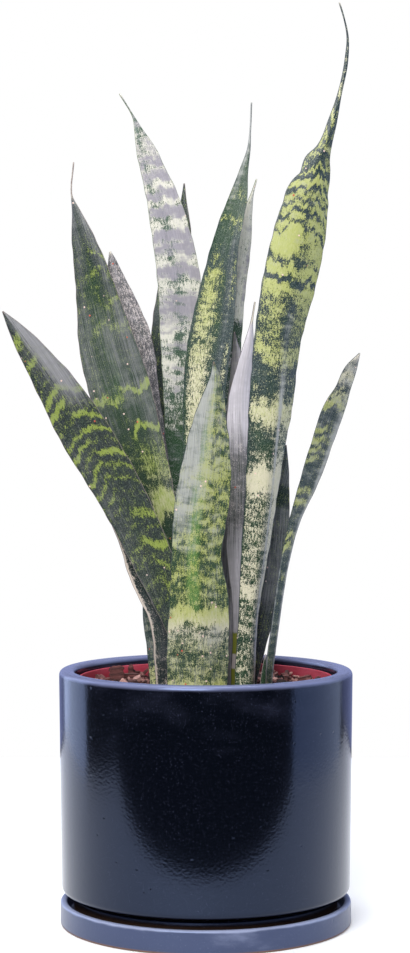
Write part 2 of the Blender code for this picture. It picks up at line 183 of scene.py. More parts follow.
CAMERA_PLACE = (-0.0005, -1.298, 0.300)
CAMERA_DOWN = 1.56  # degrees below the level
CAMERA_SENSOR, CAMERA_LENS = 36.0, 82.8  # millimetres
camera_data = bpy.data.cameras.new("camera")
camera_data.sensor_width = CAMERA_SENSOR
camera_data.lens = CAMERA_LENS
camera = bpy.data.objects.new("camera", camera_data)
camera.location = CAMERA_PLACE
camera.rotation_euler = (np.radians(90 - CAMERA_DOWN), 0.0, 0.0)
bpy.context.scene.collection.objects.link(camera)
bpy.context.scene.camera = camera

# Saucer: thrown earthenware with an upright rim, glazed dark blue-grey all over but for the
# foot it stands on. It carries the glazed pot.
saucer_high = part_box("saucer")[1]
SAUCER_RADIUS = saucer_high.x
SAUCER_TOP = saucer_high.z
SAUCER_FLOOR = 0.006
SAUCER_WALL = 0.0045
SAUCER_BARE = 0.0016  # height of the unglazed foot


def sums(tree, operation, first, second, third=0.0):
    """One step of arithmetic on two or three values."""
    inputs = {0: first, 1: second, 2: third}
    return add_node(tree, "ShaderNodeMath", inputs, operation=operation).outputs[0]


def ease(tree, value, low, high, start=0.0, end=1.0):
    """A value eased from start to end while it goes from low to high."""
    inputs = {"Value": value, "From Min": low, "From Max": high, "To Min": start, "To Max": end}
    made = add_node(tree, "ShaderNodeMapRange", inputs, interpolation_type="SMOOTHSTEP")
    return made.outputs["Result"]


def stirred(tree, value, noise, amount):
    """A value moved up and down by noise: value + (noise - 0.5) * amount."""
    return sums(tree, "MULTIPLY_ADD", sums(tree, "SUBTRACT", noise, 0.5), amount, value)


def read_mark(tree, name, output="Fac"):
    """A mark that the mesh holds at its points, as a number or as a Vector."""
    return add_node(tree, "ShaderNodeAttribute", {}, attribute_name=name).outputs[output]


def spots(tree, place, count):
    """Spots scattered at count to the unit of length: the distance to the nearest one, and two
    chances from 0 to 1 that belong to it."""
    cell = add_node(tree, "ShaderNodeTexVoronoi", {"Vector": place, "Scale": count})
    chances = add_node(tree, "ShaderNodeSeparateColor", {"Color": cell.outputs["Color"]}).outputs
    return cell.outputs["Distance"], chances[0], chances[1]


def glaze_finish(name, deep, thin, gloss, thin_gloss, uneven):
    """Dark glaze: a deep colour that runs thin, paler and duller where the mark `thin` is 1, and
    bare brown clay where the mark `bare` is 1; uneven is how far it clouds elsewhere. It has
    orange peel, small pits and pale flecks."""
    finish, tree, shader = new_finish(name, IOR=1.58, Specular_Tint=(0.46, 0.60, 1.0, 1.0))
    place = own_place(tree)
    edge = read_mark(tree, "thin")
    bare = read_mark(tree, "bare")
    cloud = grain(tree, place, (0.030, 0.030, 0.012), 4.0)
    peel = grain(tree, place, (0.0016, 0.0016, 0.0016), 2.0, 0.4)
    dust = grain(tree, place, (0.0006, 0.0006, 0.0006), 2.0, 0.6)
    away, chance = spots(tree, place, 260.0)[:2]
    rare = sums(tree, "GREATER_THAN", chance, 0.93)
    pit = sums(tree, "MULTIPLY", ease(tree, away, 0.26, 0.10), rare)
    worn = stirred(tree, edge, cloud, uneven)
    body = mix(tree, ease(tree, worn, 0.15, 0.85), deep, thin)
    flecks = sums(tree, "MULTIPLY", ease(tree, dust, 0.64, 0.76), 0.35)
    body = mix(tree, flecks, body, thin)
    clay = mix(tree, dust, tone(92, 66, 50), tone(136, 104, 80))
    tree.links.new(mix(tree, bare, body, clay), shader.inputs["Base Color"])
    dulled = sums(tree, "MULTIPLY_ADD", peel, 0.2, worn)
    shine = ease(tree, dulled, 0.0, 1.1, gloss, thin_gloss)
    shine = sums(tree, "MULTIPLY_ADD", bare, 0.5, shine)
    tree.links.new(shine, shader.inputs["Roughness"])
    relief = sums(tree, "SUBTRACT", peel, sums(tree, "MULTIPLY", pit, 1.5))
    relief = sums(tree, "MULTIPLY_ADD", dust, 0.12, relief)
    bump(tree, shader, relief, 0.00005)
    return finish


def grid_faces(rows, columns):
    """Faces of a grid whose columns close in a ring: each joins two rows and two columns."""
    start = np.arange(rows - 1)[:, None] * columns
    column = np.arange(columns)
    after = (column + 1) % columns
    corners = [start + column, start + after, start + columns + after, start + columns + column]
    return np.stack(corners, axis=-1).reshape(-1, 4)


def eased_outline(corners):
    """A profile through corners (radius, height, ease). A corner with an ease is a parabola that
    leaves the straight sides that far before and after it."""
    points = np.array([corner[:2] for corner in corners])
    before = np.vstack([points[:1], points[:-1]])
    after = np.vstack([points[1:], points[-1:]])
    line = []
    t = np.linspace(0, 1, 9)[:, None]
    for point, last, following, corner in zip(points, before, after, corners):
        if corner[2] == 0:
            line.append(point[None])
            continue
        start = point + (last - point) / np.linalg.norm(last - point) * corner[2]
        end = point + (following - point) / np.linalg.norm(following - point) * corner[2]
        line.append((1 - t) ** 2 * start + 2 * t * (1 - t) * point + t**2 * end)
    return np.vstack(line)


def turned(name, profile, finish, marks=None, around=192):
    """A turned piece: profile point (r, z) at the angle a lies at (r cos a, r sin a, z)."""
    angle = np.linspace(0, 2 * np.pi, around, endpoint=False)
    radius, height = profile[:, :1], profile[:, 1:]
    points = np.stack(
        [radius * np.cos(angle), radius * np.sin(angle), height + 0 * angle], axis=-1
    )
    spread = {key: np.repeat(values, around) for key, values in (marks or {}).items()}
    return make_piece(name, points, grid_faces(len(profile), around), finish, spread)


saucer_inner = SAUCER_RADIUS - SAUCER_WALL
saucer_line = eased_outline([
    (0.0, SAUCER_FLOOR, 0.0),
    (saucer_inner, SAUCER_FLOOR, 0.0025),
    (saucer_inner + 0.0004, SAUCER_TOP, 0.0018),
    (SAUCER_RADIUS, SAUCER_TOP, 0.0018),
    (SAUCER_RADIUS, 0.0, 0.0018),
    (0.0, 0.0, 0.0),
])
lip = np.clip((saucer_line[:, 1] - SAUCER_TOP + 0.0022) / 0.0022, 0, 1)
foot = np.clip((SAUCER_BARE - saucer_line[:, 1]) / 0.0006, 0, 1)
saucer_glaze = glaze_finish("saucer_glaze", tone(62, 69, 94), tone(146, 154, 182), 0.30, 0.36, 1.1)
saucer = turned("saucer_glazed", saucer_line, saucer_glaze, {"thin": lip, "bare": foot})
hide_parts("saucer")
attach(saucer, "root")

# Glazed pot: thick stoneware in a near-black navy glaze, which has run thin and blue-grey over
# the rim. The body ends in an undercut above a narrower foot ring, and one drain hole is cut.
pot_low, pot_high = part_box("glazed_pot")
POT_RADIUS = pot_high.x
POT_BASE = pot_low.z
POT_TOP = pot_high.z
POT_WALL = 0.0093
POT_TAPER = 0.0015
POT_UNDERCUT = 0.0137
POT_FOOT_RADIUS = saucer_inner - 0.0036
POT_FOOT_WIDTH = 0.008
POT_FOOT_RELIEF = 0.004
POT_FLOOR = 0.010
POT_HOLE = 0.010

pot_inner = POT_RADIUS - POT_WALL
pot_edge = POT_BASE + POT_UNDERCUT
pot_line = eased_outline([
    (POT_RADIUS - POT_WALL / 2, POT_TOP, 0.0),
    (POT_RADIUS, POT_TOP, 0.0034),
    (POT_RADIUS - POT_TAPER, pot_edge, 0.0032),
    (POT_FOOT_RADIUS, pot_edge - 0.0020, 0.0020),
    (POT_FOOT_RADIUS, POT_BASE, 0.0012),
    (POT_FOOT_RADIUS - POT_FOOT_WIDTH, POT_BASE, 0.0012),
    (POT_FOOT_RADIUS - POT_FOOT_WIDTH, POT_BASE + POT_FOOT_RELIEF, 0.0012),
    (POT_HOLE, POT_BASE + POT_FOOT_RELIEF, 0.0010),
    (POT_HOLE, POT_BASE + POT_FLOOR, 0.0010),
    (pot_inner, POT_BASE + POT_FLOOR, 0.0080),
    (pot_inner, POT_TOP, 0.0030),
    (POT_RADIUS - POT_WALL / 2, POT_TOP, 0.0),
])
rim = np.clip((pot_line[:, 1] - POT_TOP + 0.0042) / 0.0042, 0, 1)
foot = np.clip((POT_BASE + 0.0015 - pot_line[:, 1]) / 0.0006, 0, 1)
pot_glaze = glaze_finish("pot_glaze", tone(3, 4, 8), tone(112, 118, 152), 0.13, 0.25, 0.32)
pot = turned("glazed_pot_body", pot_line, pot_glaze, {"thin": rim, "bare": foot}, 256)
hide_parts("glazed_pot")
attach(pot, "root")

# Nursery pot: the thin pot that the plant was grown in, blown from wine-red plastic, with a wider
# collar at its rim and drain holes through its floor. It stands loose in the glazed pot.
nursery_low, nursery_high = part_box("nursery_pot")
NURSERY_RADIUS = nursery_high.x
NURSERY_BASE = nursery_low.z
NURSERY_TOP = nursery_high.z
NURSERY_WALL = 0.0012
NURSERY_COLLAR = 0.012
NURSERY_STEP = 0.0016
NURSERY_TAPER = 0.019
NURSERY_HOLE = 0.0045
NURSERY_HOLES = 6
NURSERY_HOLE_RING = 0.68  # share of the floor's radius that the holes' middles lie out

red_plastic, tree, shader = new_finish("red_plastic", Roughness=0.42, Subsurface_Weight=0.12)
shader.inputs["Subsurface Radius"].default_value = (0.004, 0.001, 0.001)
place = own_place(tree)
cloud = grain(tree, place, (0.020, 0.020, 0.006), 4.0)
dust = grain(tree, place, (0.0012, 0.0012, 0.0012), 4.0, 0.7)
body = mix(tree, ease(tree, cloud, 0.3, 0.7), tone(166, 48, 64), tone(190, 70, 88))
body = mix(tree, ease(tree, dust, 0.56, 0.80, 0.0, 0.5), body, tone(172, 122, 112))
tree.links.new(body, shader.inputs["Base Color"])
tree.links.new(ease(tree, dust, 0.3, 0.7, 0.34, 0.56), shader.inputs["Roughness"])
bump(tree, shader, dust, 0.00006)

collar = NURSERY_TOP - NURSERY_COLLAR
floor_radius = NURSERY_RADIUS - NURSERY_STEP - NURSERY_TAPER
collar_share = NURSERY_COLLAR / (NURSERY_TOP - NURSERY_BASE)
neck_radius = NURSERY_RADIUS - NURSERY_STEP - NURSERY_TAPER * collar_share
nursery_line = eased_outline([
    (NURSERY_RADIUS, NURSERY_TOP - 0.0006, 0.0),
    (NURSERY_RADIUS, collar, 0.0008),
    (neck_radius, collar - 0.001, 0.0004),
    (floor_radius, NURSERY_BASE, 0.0020),
    (NURSERY_HOLE, NURSERY_BASE, 0.0),
    (NURSERY_HOLE, NURSERY_BASE + NURSERY_WALL, 0.0),
    (floor_radius - NURSERY_WALL, NURSERY_BASE + NURSERY_WALL, 0.0012),
    (neck_radius - NURSERY_WALL, collar - 0.0004, 0.0004),
    (NURSERY_RADIUS - NURSERY_WALL, collar + 0.0012, 0.0006),
    (NURSERY_RADIUS - NURSERY_WALL, NURSERY_TOP, 0.0005),
    (NURSERY_RADIUS, NURSERY_TOP, 0.0005),
    (NURSERY_RADIUS, NURSERY_TOP - 0.0006, 0.0),
])
nursery_pot = turned("nursery_pot_red", nursery_line, red_plastic)
drills = bmesh.new()
for angle in np.arange(NURSERY_HOLES) * 2 * np.pi / NURSERY_HOLES:
    drill = bmesh.ops.create_cone(
        drills, cap_ends=True, segments=32, radius1=NURSERY_HOLE, radius2=NURSERY_HOLE,
        depth=NURSERY_WALL * 6,
    )
    ring = NURSERY_HOLE_RING * floor_radius
    centre = (ring * np.cos(angle), ring * np.sin(angle), NURSERY_BASE)
    bmesh.ops.translate(drills, verts=drill["verts"], vec=centre)
drill_mesh = bpy.data.meshes.new("drain_drills")
drills.to_mesh(drill_mesh)
drills.free()
drain_drills = bpy.data.objects.new("drain_drills", drill_mesh)
bpy.context.scene.collection.objects.link(drain_drills)
holes = nursery_pot.modifiers.new("drain holes", "BOOLEAN")
holes.operation = "DIFFERENCE"
holes.object = drain_drills
cut_pot = nursery_pot.evaluated_get(bpy.context.evaluated_depsgraph_get())
drilled = bpy.data.meshes.new_from_object(cut_pot)
nursery_pot.modifiers.clear()
nursery_pot.data = drilled
bpy.data.objects.remove(drain_drills)
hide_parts("nursery_pot")
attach(nursery_pot, "root")

# Bark mix: composted bark that fills the nursery pot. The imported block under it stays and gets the
# colour of damp fines; loose crumbs lie over its top, two or three deep, clear of the leaves.
SOIL_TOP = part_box("potting_soil")[1].z

bark_mix, tree, shader = new_finish("bark_mix", Roughness=0.92)
place = own_place(tree)
lumps = grain(tree, place, (0.003, 0.003, 0.003), 6.0, 0.65)
body = mix(tree, ease(tree, lumps, 0.35, 0.68), tone(36, 24, 24), tone(92, 58, 52))
tree.links.new(body, shader.inputs["Base Color"])
bump(tree, shader, lumps, 0.0012)
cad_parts["potting_soil"].data.materials.clear()
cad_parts["potting_soil"].data.materials.append(bark_mix)

bark, tree, shader = new_finish("bark", Roughness=0.88)
place = own_place(tree)
shade = read_mark(tree, "shade")
layers = grain(tree, place, (0.0030, 0.0030, 0.0005), 5.0, 0.65)
crust = grain(tree, place, (0.0008, 0.0008, 0.0008), 4.0, 0.65)
worn = sums(tree, "MULTIPLY_ADD", layers, 0.7, sums(tree, "SUBTRACT", shade, 0.35))
body = mix(tree, ease(tree, worn, 0.0, 0.45), tone(18, 13, 16), tone(96, 54, 52))
body = mix(tree, ease(tree, worn, 0.40, 1.0), body, tone(182, 140, 132))
body = mix(tree, ease(tree, crust, 0.58, 0.78, 0.0, 0.7), body, tone(66, 46, 44))
tree.links.new(body, shader.inputs["Base Color"])
relief = sums(tree, "ADD", layers, crust)
bump(tree, shader, relief, 0.0004)


# Leaves: sixteen stiff, thick blades, each grown as one piece from the rootstock. The blade is
# folded a little along its middle and has a thin tough margin. Most end in a dried awl or thread.
LEAST_WIDTH = 1.0  # a dried tip, in millimetres
ROW = 1.4  # millimetres of height between rows of points
AROUND = 96  # points round a blade
MARGIN_THIN = 0.72  # how much thinner a blade is at its margin than in its middle
TIP_THIN = 0.55  # how much thinner it is at its tip than at its foot
TIP_FLAT = 0.6  # how much flatter its fold is there


def smooth(at, places, values):
    """Read a smooth curve through values given at rising places: on each stretch the cubic that
    meets both ends with slopes taken from three points."""
    gaps = np.diff(places)
    rises = np.diff(values) / gaps
    slopes = np.empty(len(values))
    slopes[1:-1] = (rises[:-1] * gaps[1:] + rises[1:] * gaps[:-1]) / (gaps[:-1] + gaps[1:])
    slopes[0] = rises[0]
    slopes[-1] = rises[-1]
    k = np.clip(np.searchsorted(places, at, side="right") - 1, 0, len(gaps) - 1)
    t = (at - places[k]) / gaps[k]
    start = (1 + 2 * t) * (1 - t) ** 2 * values[k] + t * (1 - t) ** 2 * gaps[k] * slopes[k]
    end = t**2 * (3 - 2 * t) * values[k + 1] + t**2 * (t - 1) * gaps[k] * slopes[k + 1]
    return start + end


def level(height, pairs):
    """A value that runs straight between pairs (height, value)."""
    places, values = np.array(pairs, float).T
    return np.interp(height, places, values)


def cross_bands(height, u, bands):
    """Bands across the blade, added up. Each is (height of its middle, half its height, drop,
    left, right): it lies at its height less drop times |u|, and its strength left or right of
    the middle fades as exp(-(distance / half height)^4)."""
    total = np.zeros(np.broadcast(height, u).shape)
    for middle, half, drop, left, right in bands:
        away = (height - middle + drop * np.abs(u)) / half
        side = left + (right - left) / (1 + np.exp(-u / 0.06))
        total += side * np.exp(-(away**4))
    return total


def long_stripes(height, u, stripes):
    """Stripes along the blade, added up. Each is (half width, amount, ((height, u), ...)): it
    follows its line and fades as exp(-(distance / half width)^2), and over 20 mm at its ends."""
    total = np.zeros(np.broadcast(height, u).shape)
    for half, amount, line in stripes:
        away = (u - level(height, line)) / half
        ends = np.clip((height - line[0][0]) / 20 + 0.5, 0, 1)
        ends = ends * np.clip((line[-1][0] - height) / 20 + 0.5, 0, 1)
        total += amount * ends * np.exp(-(away**2))
    return total


def leaf_finish(name, deep, slate, bright, cream, bloom_and_sheen, edge, speck, blotch, soft, drift, fibrous):
    """A leaf's skin: bright marks on dark green, broken into short lengthwise flecks.

    The blade's marks say how far the bright part shows, how creamy it is, how green the ground is
    and how much pale grey lies over it, partly waxy bloom and partly painted sheen. Noise that is
    long along the blade tears their edges.
    deep, slate, speck: the ground where it is green, where it is grey, and its pale stipple
    bright, cream: the bright marks where they are yellow-green and where they are creamy
    haze, edge: the waxy haze, and the tough margin
    bloom_and_sheen, edge: the pale grey of waxy bloom and painted sheen, and the tough margin
    drift, fibrous: how far that pale grey gathers in those bars, and how strongly fibres show in it
    """
    finish, tree, shader = new_finish(name, IOR=1.42, Specular_IOR_Level=0.42)
    place = read_mark(tree, "place", "Vector")
    inputs = {0: read_mark(tree, "layout", "Vector")}
    shown, creamy, bloom_and_sheen_share = add_node(tree, "ShaderNodeSeparateXYZ", inputs).outputs
    inputs = {0: read_mark(tree, "wear", "Vector")}
    fresh, dry, scarred = add_node(tree, "ShaderNodeSeparateXYZ", inputs).outputs
    rim = read_mark(tree, "margin")

    bars = grain(tree, place, (9.0, 3.6, 9.0), 4.0, 0.55)
    flames = grain(tree, place, (0.9, 3.2, 9.0), 4.0, 0.66, 3.1)
    flecks = grain(tree, place, (0.42, 0.62, 9.0), 3.0, 0.66, 7.7)
    fibres = grain(tree, place, (0.35, 22.0, 9.0), 3.0, 0.6, 1.9)
    clouds = grain(tree, place, (8.0, 16.0, 9.0), 3.0, 0.5, 5.3)

    field = stirred(tree, shown, bars, blotch)
    field = stirred(tree, stirred(tree, field, flames, 2.2), flecks, 3.2)
    bright_share = ease(tree, field, 0.5 - soft, 0.5 + soft)

    greener = stirred(tree, fresh, clouds, 1.2)
    ground = mix(tree, ease(tree, greener, 0.0, 1.0), slate, deep)
    ground = mix(tree, ease(tree, greener, 1.0, 2.0), ground, tone(88, 128, 62))
    ground = mix(tree, ease(tree, flecks, 0.50, 0.70, 0.0, 0.55), ground, speck)
    ground = mix(tree, ease(tree, flecks, 0.50, 0.34, 0.0, 0.75), ground, tone(16, 28, 22))
    creamier = stirred(tree, creamy, flames, 1.2)
    marks = mix(tree, ease(tree, creamier, 0.0, 1.0), bright, cream)
    marks = mix(tree, ease(tree, flecks, 0.52, 0.80, 0.0, 0.4), marks, deep)
    skin = mix(tree, bright_share, ground, marks)

    # Pale grey over the skin: partly the leaf's waxy bloom, partly a painted sheen that stands in for
    # the lamps' glint.
    dull = tuple((1 - 0.6 * fibrous) * part for part in bloom_and_sheen[:3]) + (1.0,)
    lines = mix(tree, ease(tree, fibres, 0.34, 0.66), dull, bloom_and_sheen)
    lines = mix(tree, ease(tree, bars, 0.40, 0.72, 0.0, 0.6), lines, dull)
    lines = mix(tree, ease(tree, flecks, 0.46, 0.74, 0.0, 0.45), lines, dull)
    veil = stirred(tree, stirred(tree, bloom_and_sheen_share, fibres, 1.8 * fibrous), bars, drift)
    skin = mix(tree, ease(tree, veil, 0.1, 0.9, 0.0, 0.94), skin, lines)

    straw = mix(tree, ease(tree, creamier, 0.1, 0.9), tone(104, 80, 70), tone(214, 208, 194))
    skin = mix(tree, dry, skin, straw)
    rim_share = ease(tree, sums(tree, "MULTIPLY_ADD", clouds, 0.5, rim), 0.62, 0.38)
    skin = mix(tree, rim_share, skin, edge)

    away, chance, redness = spots(tree, place, 0.42)
    chosen = sums(tree, "GREATER_THAN", sums(tree, "ADD", chance, scarred), 0.985)
    scar = sums(tree, "MULTIPLY", ease(tree, away, 0.30, 0.16), chosen)
    red = sums(tree, "GREATER_THAN", redness, 0.82)
    skin = mix(tree, scar, skin, mix(tree, red, tone(236, 208, 196), tone(196, 92, 70)))
    tree.links.new(skin, shader.inputs["Base Color"])

    dulled = sums(tree, "ADD", flames, sums(tree, "MULTIPLY", bloom_and_sheen_share, 0.4))
    shine = ease(tree, dulled, 0.3, 1.1, 0.34, 0.56)
    tree.links.new(sums(tree, "MULTIPLY_ADD", dry, 0.3, shine), shader.inputs["Roughness"])
    relief = sums(tree, "MULTIPLY_ADD", fibres, 0.8, sums(tree, "MULTIPLY", flecks, 0.35))
    relief = sums(tree, "MULTIPLY_ADD", scar, 0.9, relief)
    bump(tree, shader, relief, 0.00016)
    return finish


skins = {
    "leaf_banded": leaf_finish(
        "leaf_banded", deep=tone(30, 64, 32), slate=tone(38, 56, 60), bright=tone(174, 180, 104),
        cream=tone(214, 208, 184), bloom_and_sheen=tone(184, 186, 184), edge=tone(58, 66, 72),
        speck=tone(150, 158, 150), blotch=1.7, soft=0.16, drift=1.1, fibrous=0.4,
    ),
    "leaf_dark": leaf_finish(
        "leaf_dark", deep=tone(24, 52, 28), slate=tone(38, 46, 50), bright=tone(140, 156, 72),
        cream=tone(214, 200, 186), bloom_and_sheen=tone(154, 154, 158), edge=tone(132, 120, 120),
        speck=tone(132, 140, 132), blotch=1.0, soft=0.18, drift=0.4, fibrous=0.5,
    ),
    "leaf_grey": leaf_finish(
        "leaf_grey", deep=tone(66, 78, 70), slate=tone(86, 83, 88), bright=tone(142, 148, 60),
        cream=tone(210, 198, 196), bloom_and_sheen=tone(206, 201, 210), edge=tone(74, 68, 70),
        speck=tone(104, 101, 107), blotch=0.8, soft=0.22, drift=0.5, fibrous=0.5,
    ),
    "leaf_pale": leaf_finish(
        "leaf_pale", deep=tone(40, 74, 40), slate=tone(88, 108, 96), bright=tone(188, 194, 156),
        cream=tone(222, 218, 206), bloom_and_sheen=tone(166, 161, 171), edge=tone(104, 116, 88),
        speck=tone(156, 156, 154), blotch=2.2, soft=0.20, drift=2.2, fibrous=0.5,
    ),
}
leaf_feet = []


def capped(rows):
    """Rows with the first and the last given twice, so that the ends can close to a point."""
    return np.concatenate([rows[:1], rows, rows[-1:]])


def leaf(
    name, slot, foot_y, tip_y, facing, turn, fold, thick, stations,
    ground, bands=(), stripes=(), cream=((0, 0),), fresh=((0, 0.4),), fresh_stripes=(),
    bloom_and_sheen=((0, 0),), bloom_and_sheen_stripes=(), bloom_and_sheen_bands=(), dry=6.0, scars=((0, 0),), waver=1.0,
):
    """One leaf blade, as a closed skin over heights h and angles p round the blade.

    The middle line runs through the stations (height over the soil, x, width, in millimetres)
    and back from foot_y to tip_y as the square of its height. Across the blade u = -cos p goes
    from margin to margin. A point lies at the middle line + u half widths across + the fold,
    |u|^1.5 forwards + half the thickness, sin p times (1 - MARGIN_THIN u^2), along the face.
    facing, turn: where the face looks, in degrees from the front, and its twist by the tip
    ground, bands, stripes: how far the bright colour shows, along the blade, across and lengthwise
    cream, scars: creaminess and scars along the blade, as pairs (height, value)
    fresh, fresh_stripes: greenness along the blade, and in stripes
    bloom_and_sheen, bloom_and_sheen_stripes, bloom_and_sheen_bands: pale grey along the blade, in
    stripes and in cross bands, partly waxy bloom and partly painted sheen
    dry: length of the dried tip; waver: how far the cross bands wander from straight
    """
    low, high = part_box(name)
    top = stations[-1][0]
    scale = (high.z - SOIL_TOP) / top
    buried = (SOIL_TOP - low.z) / scale
    table = np.array([(-buried, *stations[0][1:])] + stations, float)
    heights, centres, widths = table.T
    rows = int((top + buried) / ROW)
    h = np.linspace(-buried, top, rows)
    share = np.clip(h / top, 0, 1)
    middle = np.stack([smooth(h, heights, centres), foot_y + (tip_y - foot_y) * share**2, h], axis=1)
    half = np.maximum(smooth(h, heights, widths), LEAST_WIDTH) / 2
    along = np.gradient(middle, axis=0)
    along /= np.linalg.norm(along, axis=1, keepdims=True)
    look = np.radians(facing + turn * share)
    face = np.stack([np.sin(look), -np.cos(look), 0 * look], axis=1)
    across = -np.cross(face, along)
    across /= np.linalg.norm(across, axis=1, keepdims=True)
    face = np.cross(across, along)

    p = np.linspace(0, 2 * np.pi, AROUND, endpoint=False)
    u = -np.cos(p)
    order = len(leaf_feet)
    deepest = np.minimum(thick * (1 - TIP_THIN * share), 0.5 * half + 0.8)
    skin = deepest[:, None] / 2 * np.sin(p) * (1 - MARGIN_THIN * u**2)
    ribs = np.cos(u * 19 + order) * np.cos(u * 7 + h[:, None] / 60)
    skin += 0.07 * np.sin(p) * ribs * np.clip(half[:, None] / 8, 0, 1)
    broad = np.clip((half - 2) / 8, 0, 1)
    wave = 0.35 * np.sin(h / 13 + order) + 0.25 * np.sin(h / 5.7 + 2 * order)
    lift = fold * (1 - TIP_FLAT * share) * half
    lift = lift[:, None] * np.abs(u) ** 1.5 + (wave * broad)[:, None] * u**3 * 0.6
    nick = (0.14 * np.sin(h / 2.9 + order) + 0.10 * np.sin(h / 1.7)) * broad
    reach = (half[:, None] - 0.2 * broad[:, None] + nick[:, None] * np.abs(u)) * u
    points = middle[:, None, :] + reach[..., None] * across[:, None, :]
    points += (lift + skin)[..., None] * face[:, None, :]
    points = capped(points)
    points[0], points[-1] = points[0].mean(axis=0), points[-1].mean(axis=0)
    points = points * scale + (0, 0, SOIL_TOP)

    h, half = capped(h)[:, None], capped(half)[:, None]
    whole = np.ones((1, AROUND))
    travel = np.concatenate([[0], np.cumsum(np.linalg.norm(np.diff(middle, axis=0), axis=1))])
    travel = capped(travel)[:, None]
    place = np.stack([half * u, travel * whole, 4 * np.sin(p) + 31.0 * order + 0 * h], axis=-1)
    wobble = 1.5 * np.sin(7 * u + order + h / 23) + 1.0 * np.sin(15 * u + 2 * order - h / 17)
    wobble += 1.5 * np.sin(4.3 * u + h / 7.3) + 0.7 * np.sin(29 * u + h / 11)
    wobble = wobble * waver * np.clip(half / 12, 0, 1)
    shown = level(h, ground) + cross_bands(h + wobble, u, bands) + long_stripes(h, u, stripes)
    creamy = level(h, cream) * whole
    # Pale grey along the blade: partly waxy bloom, partly painted sheen.
    bloom_and_sheen_share = level(h, bloom_and_sheen) + long_stripes(h, u, bloom_and_sheen_stripes)
    bloom_and_sheen_share += cross_bands(h + wobble, u, bloom_and_sheen_bands)
    greener = level(h, fresh) + long_stripes(h, u, fresh_stripes)
    dried = np.clip((h - top + dry) / 3.0, 0, 1) * whole
    scarred = level(h, scars) * whole
    marks = {
        "place": place,
        "layout": np.stack([shown, creamy, bloom_and_sheen_share], axis=-1),
        "wear": np.stack([greener, dried, scarred], axis=-1),
        "margin": half * (1 - np.abs(u)),
    }
    blade = make_piece(name + "_blade", points, grid_faces(rows + 2, AROUND), skins[slot], marks)
    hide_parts(name)
    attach(blade, "root")
    foot = int(np.argmin(np.abs(middle[:, 2])))
    leaf_feet.append((middle[foot] * scale, across[foot], widths[0] / 2 * scale))


leaf(
    "leaf_front", "leaf_banded",
    foot_y=-42, tip_y=-60, facing=6, turn=0, fold=-0.22, thick=5.0,
    stations=[
        (0, -4.6, 35.2), (30, -4.2, 36.2), (60, -3.7, 34.2), (82, -5.2, 29.2),
        (105, -3.1, 31.2), (122, -0.8, 31.1), (144, 1.2, 26.1), (160, 2.4, 20.0),
        (174, 4.2, 13.0), (185, 5.3, 6.5), (194, 4.4, 1.0),
    ],
    ground=((0, 0.38), (20, 0.30), (34, 0.46), (70, 0.22), (110, 0.26), (150, 0.20), (194, 0.35)),
    bands=[
        (49, 5, 2, 0.70, 0.80), (4, 5, 0, 0.6, 0.7), (132, 5, 4, 0.4, 0.5), (69, 2.5, 6, 0.1, 0.4),
        (78, 3, 5, 0.3, 0.2), (87, 2.5, 5, -0.1, 0.45), (96, 3, 5, 0.3, 0.3), (105, 2.5, 5, 0.1, 0.5),
        (113, 3, 5, 0.4, 0.3), (122, 2.5, 5, -0.1, 0.5), (141, 2.5, 5, 0.0, 0.5),
        (149, 2.5, 5, 0.0, 0.45), (157, 2.2, 5, 0.0, 0.5), (165, 2.2, 4, 0.1, 0.4),
        (174, 3, 4, 0.3, 0.4),
    ],
    stripes=[(0.14, 0.45, ((120, -0.06), (190, 0.0)))],
    cream=((0, 0.10), (30, 0.35), (40, 0.75), (52, 0.20), (70, 0.0), (194, 0.0)),
    fresh=((0, 0.6), (120, 0.8), (194, 0.9)),
    fresh_stripes=[(0.26, 1.5, ((50, -0.20), (140, -0.14), (185, 0.0)))],
    bloom_and_sheen=((0, 0.16), (36, 0.30), (50, 0.10), (110, 0.20), (150, 0.34), (194, 0.40)),
    # Both grey stripes are painted sheen: the wide one on the left half stands for the left light's
    # glint, the faint one on the right half for the right light's.
    bloom_and_sheen_stripes=[(0.62, 0.42, ((92, -0.75), (188, -0.60))), (0.30, 0.15, ((30, 0.55), (110, 0.60)))],
    scars=((0, 0.05), (12, 0.13), (36, 0.10), (60, 0.01), (194, 0.0)), dry=2.5,
)
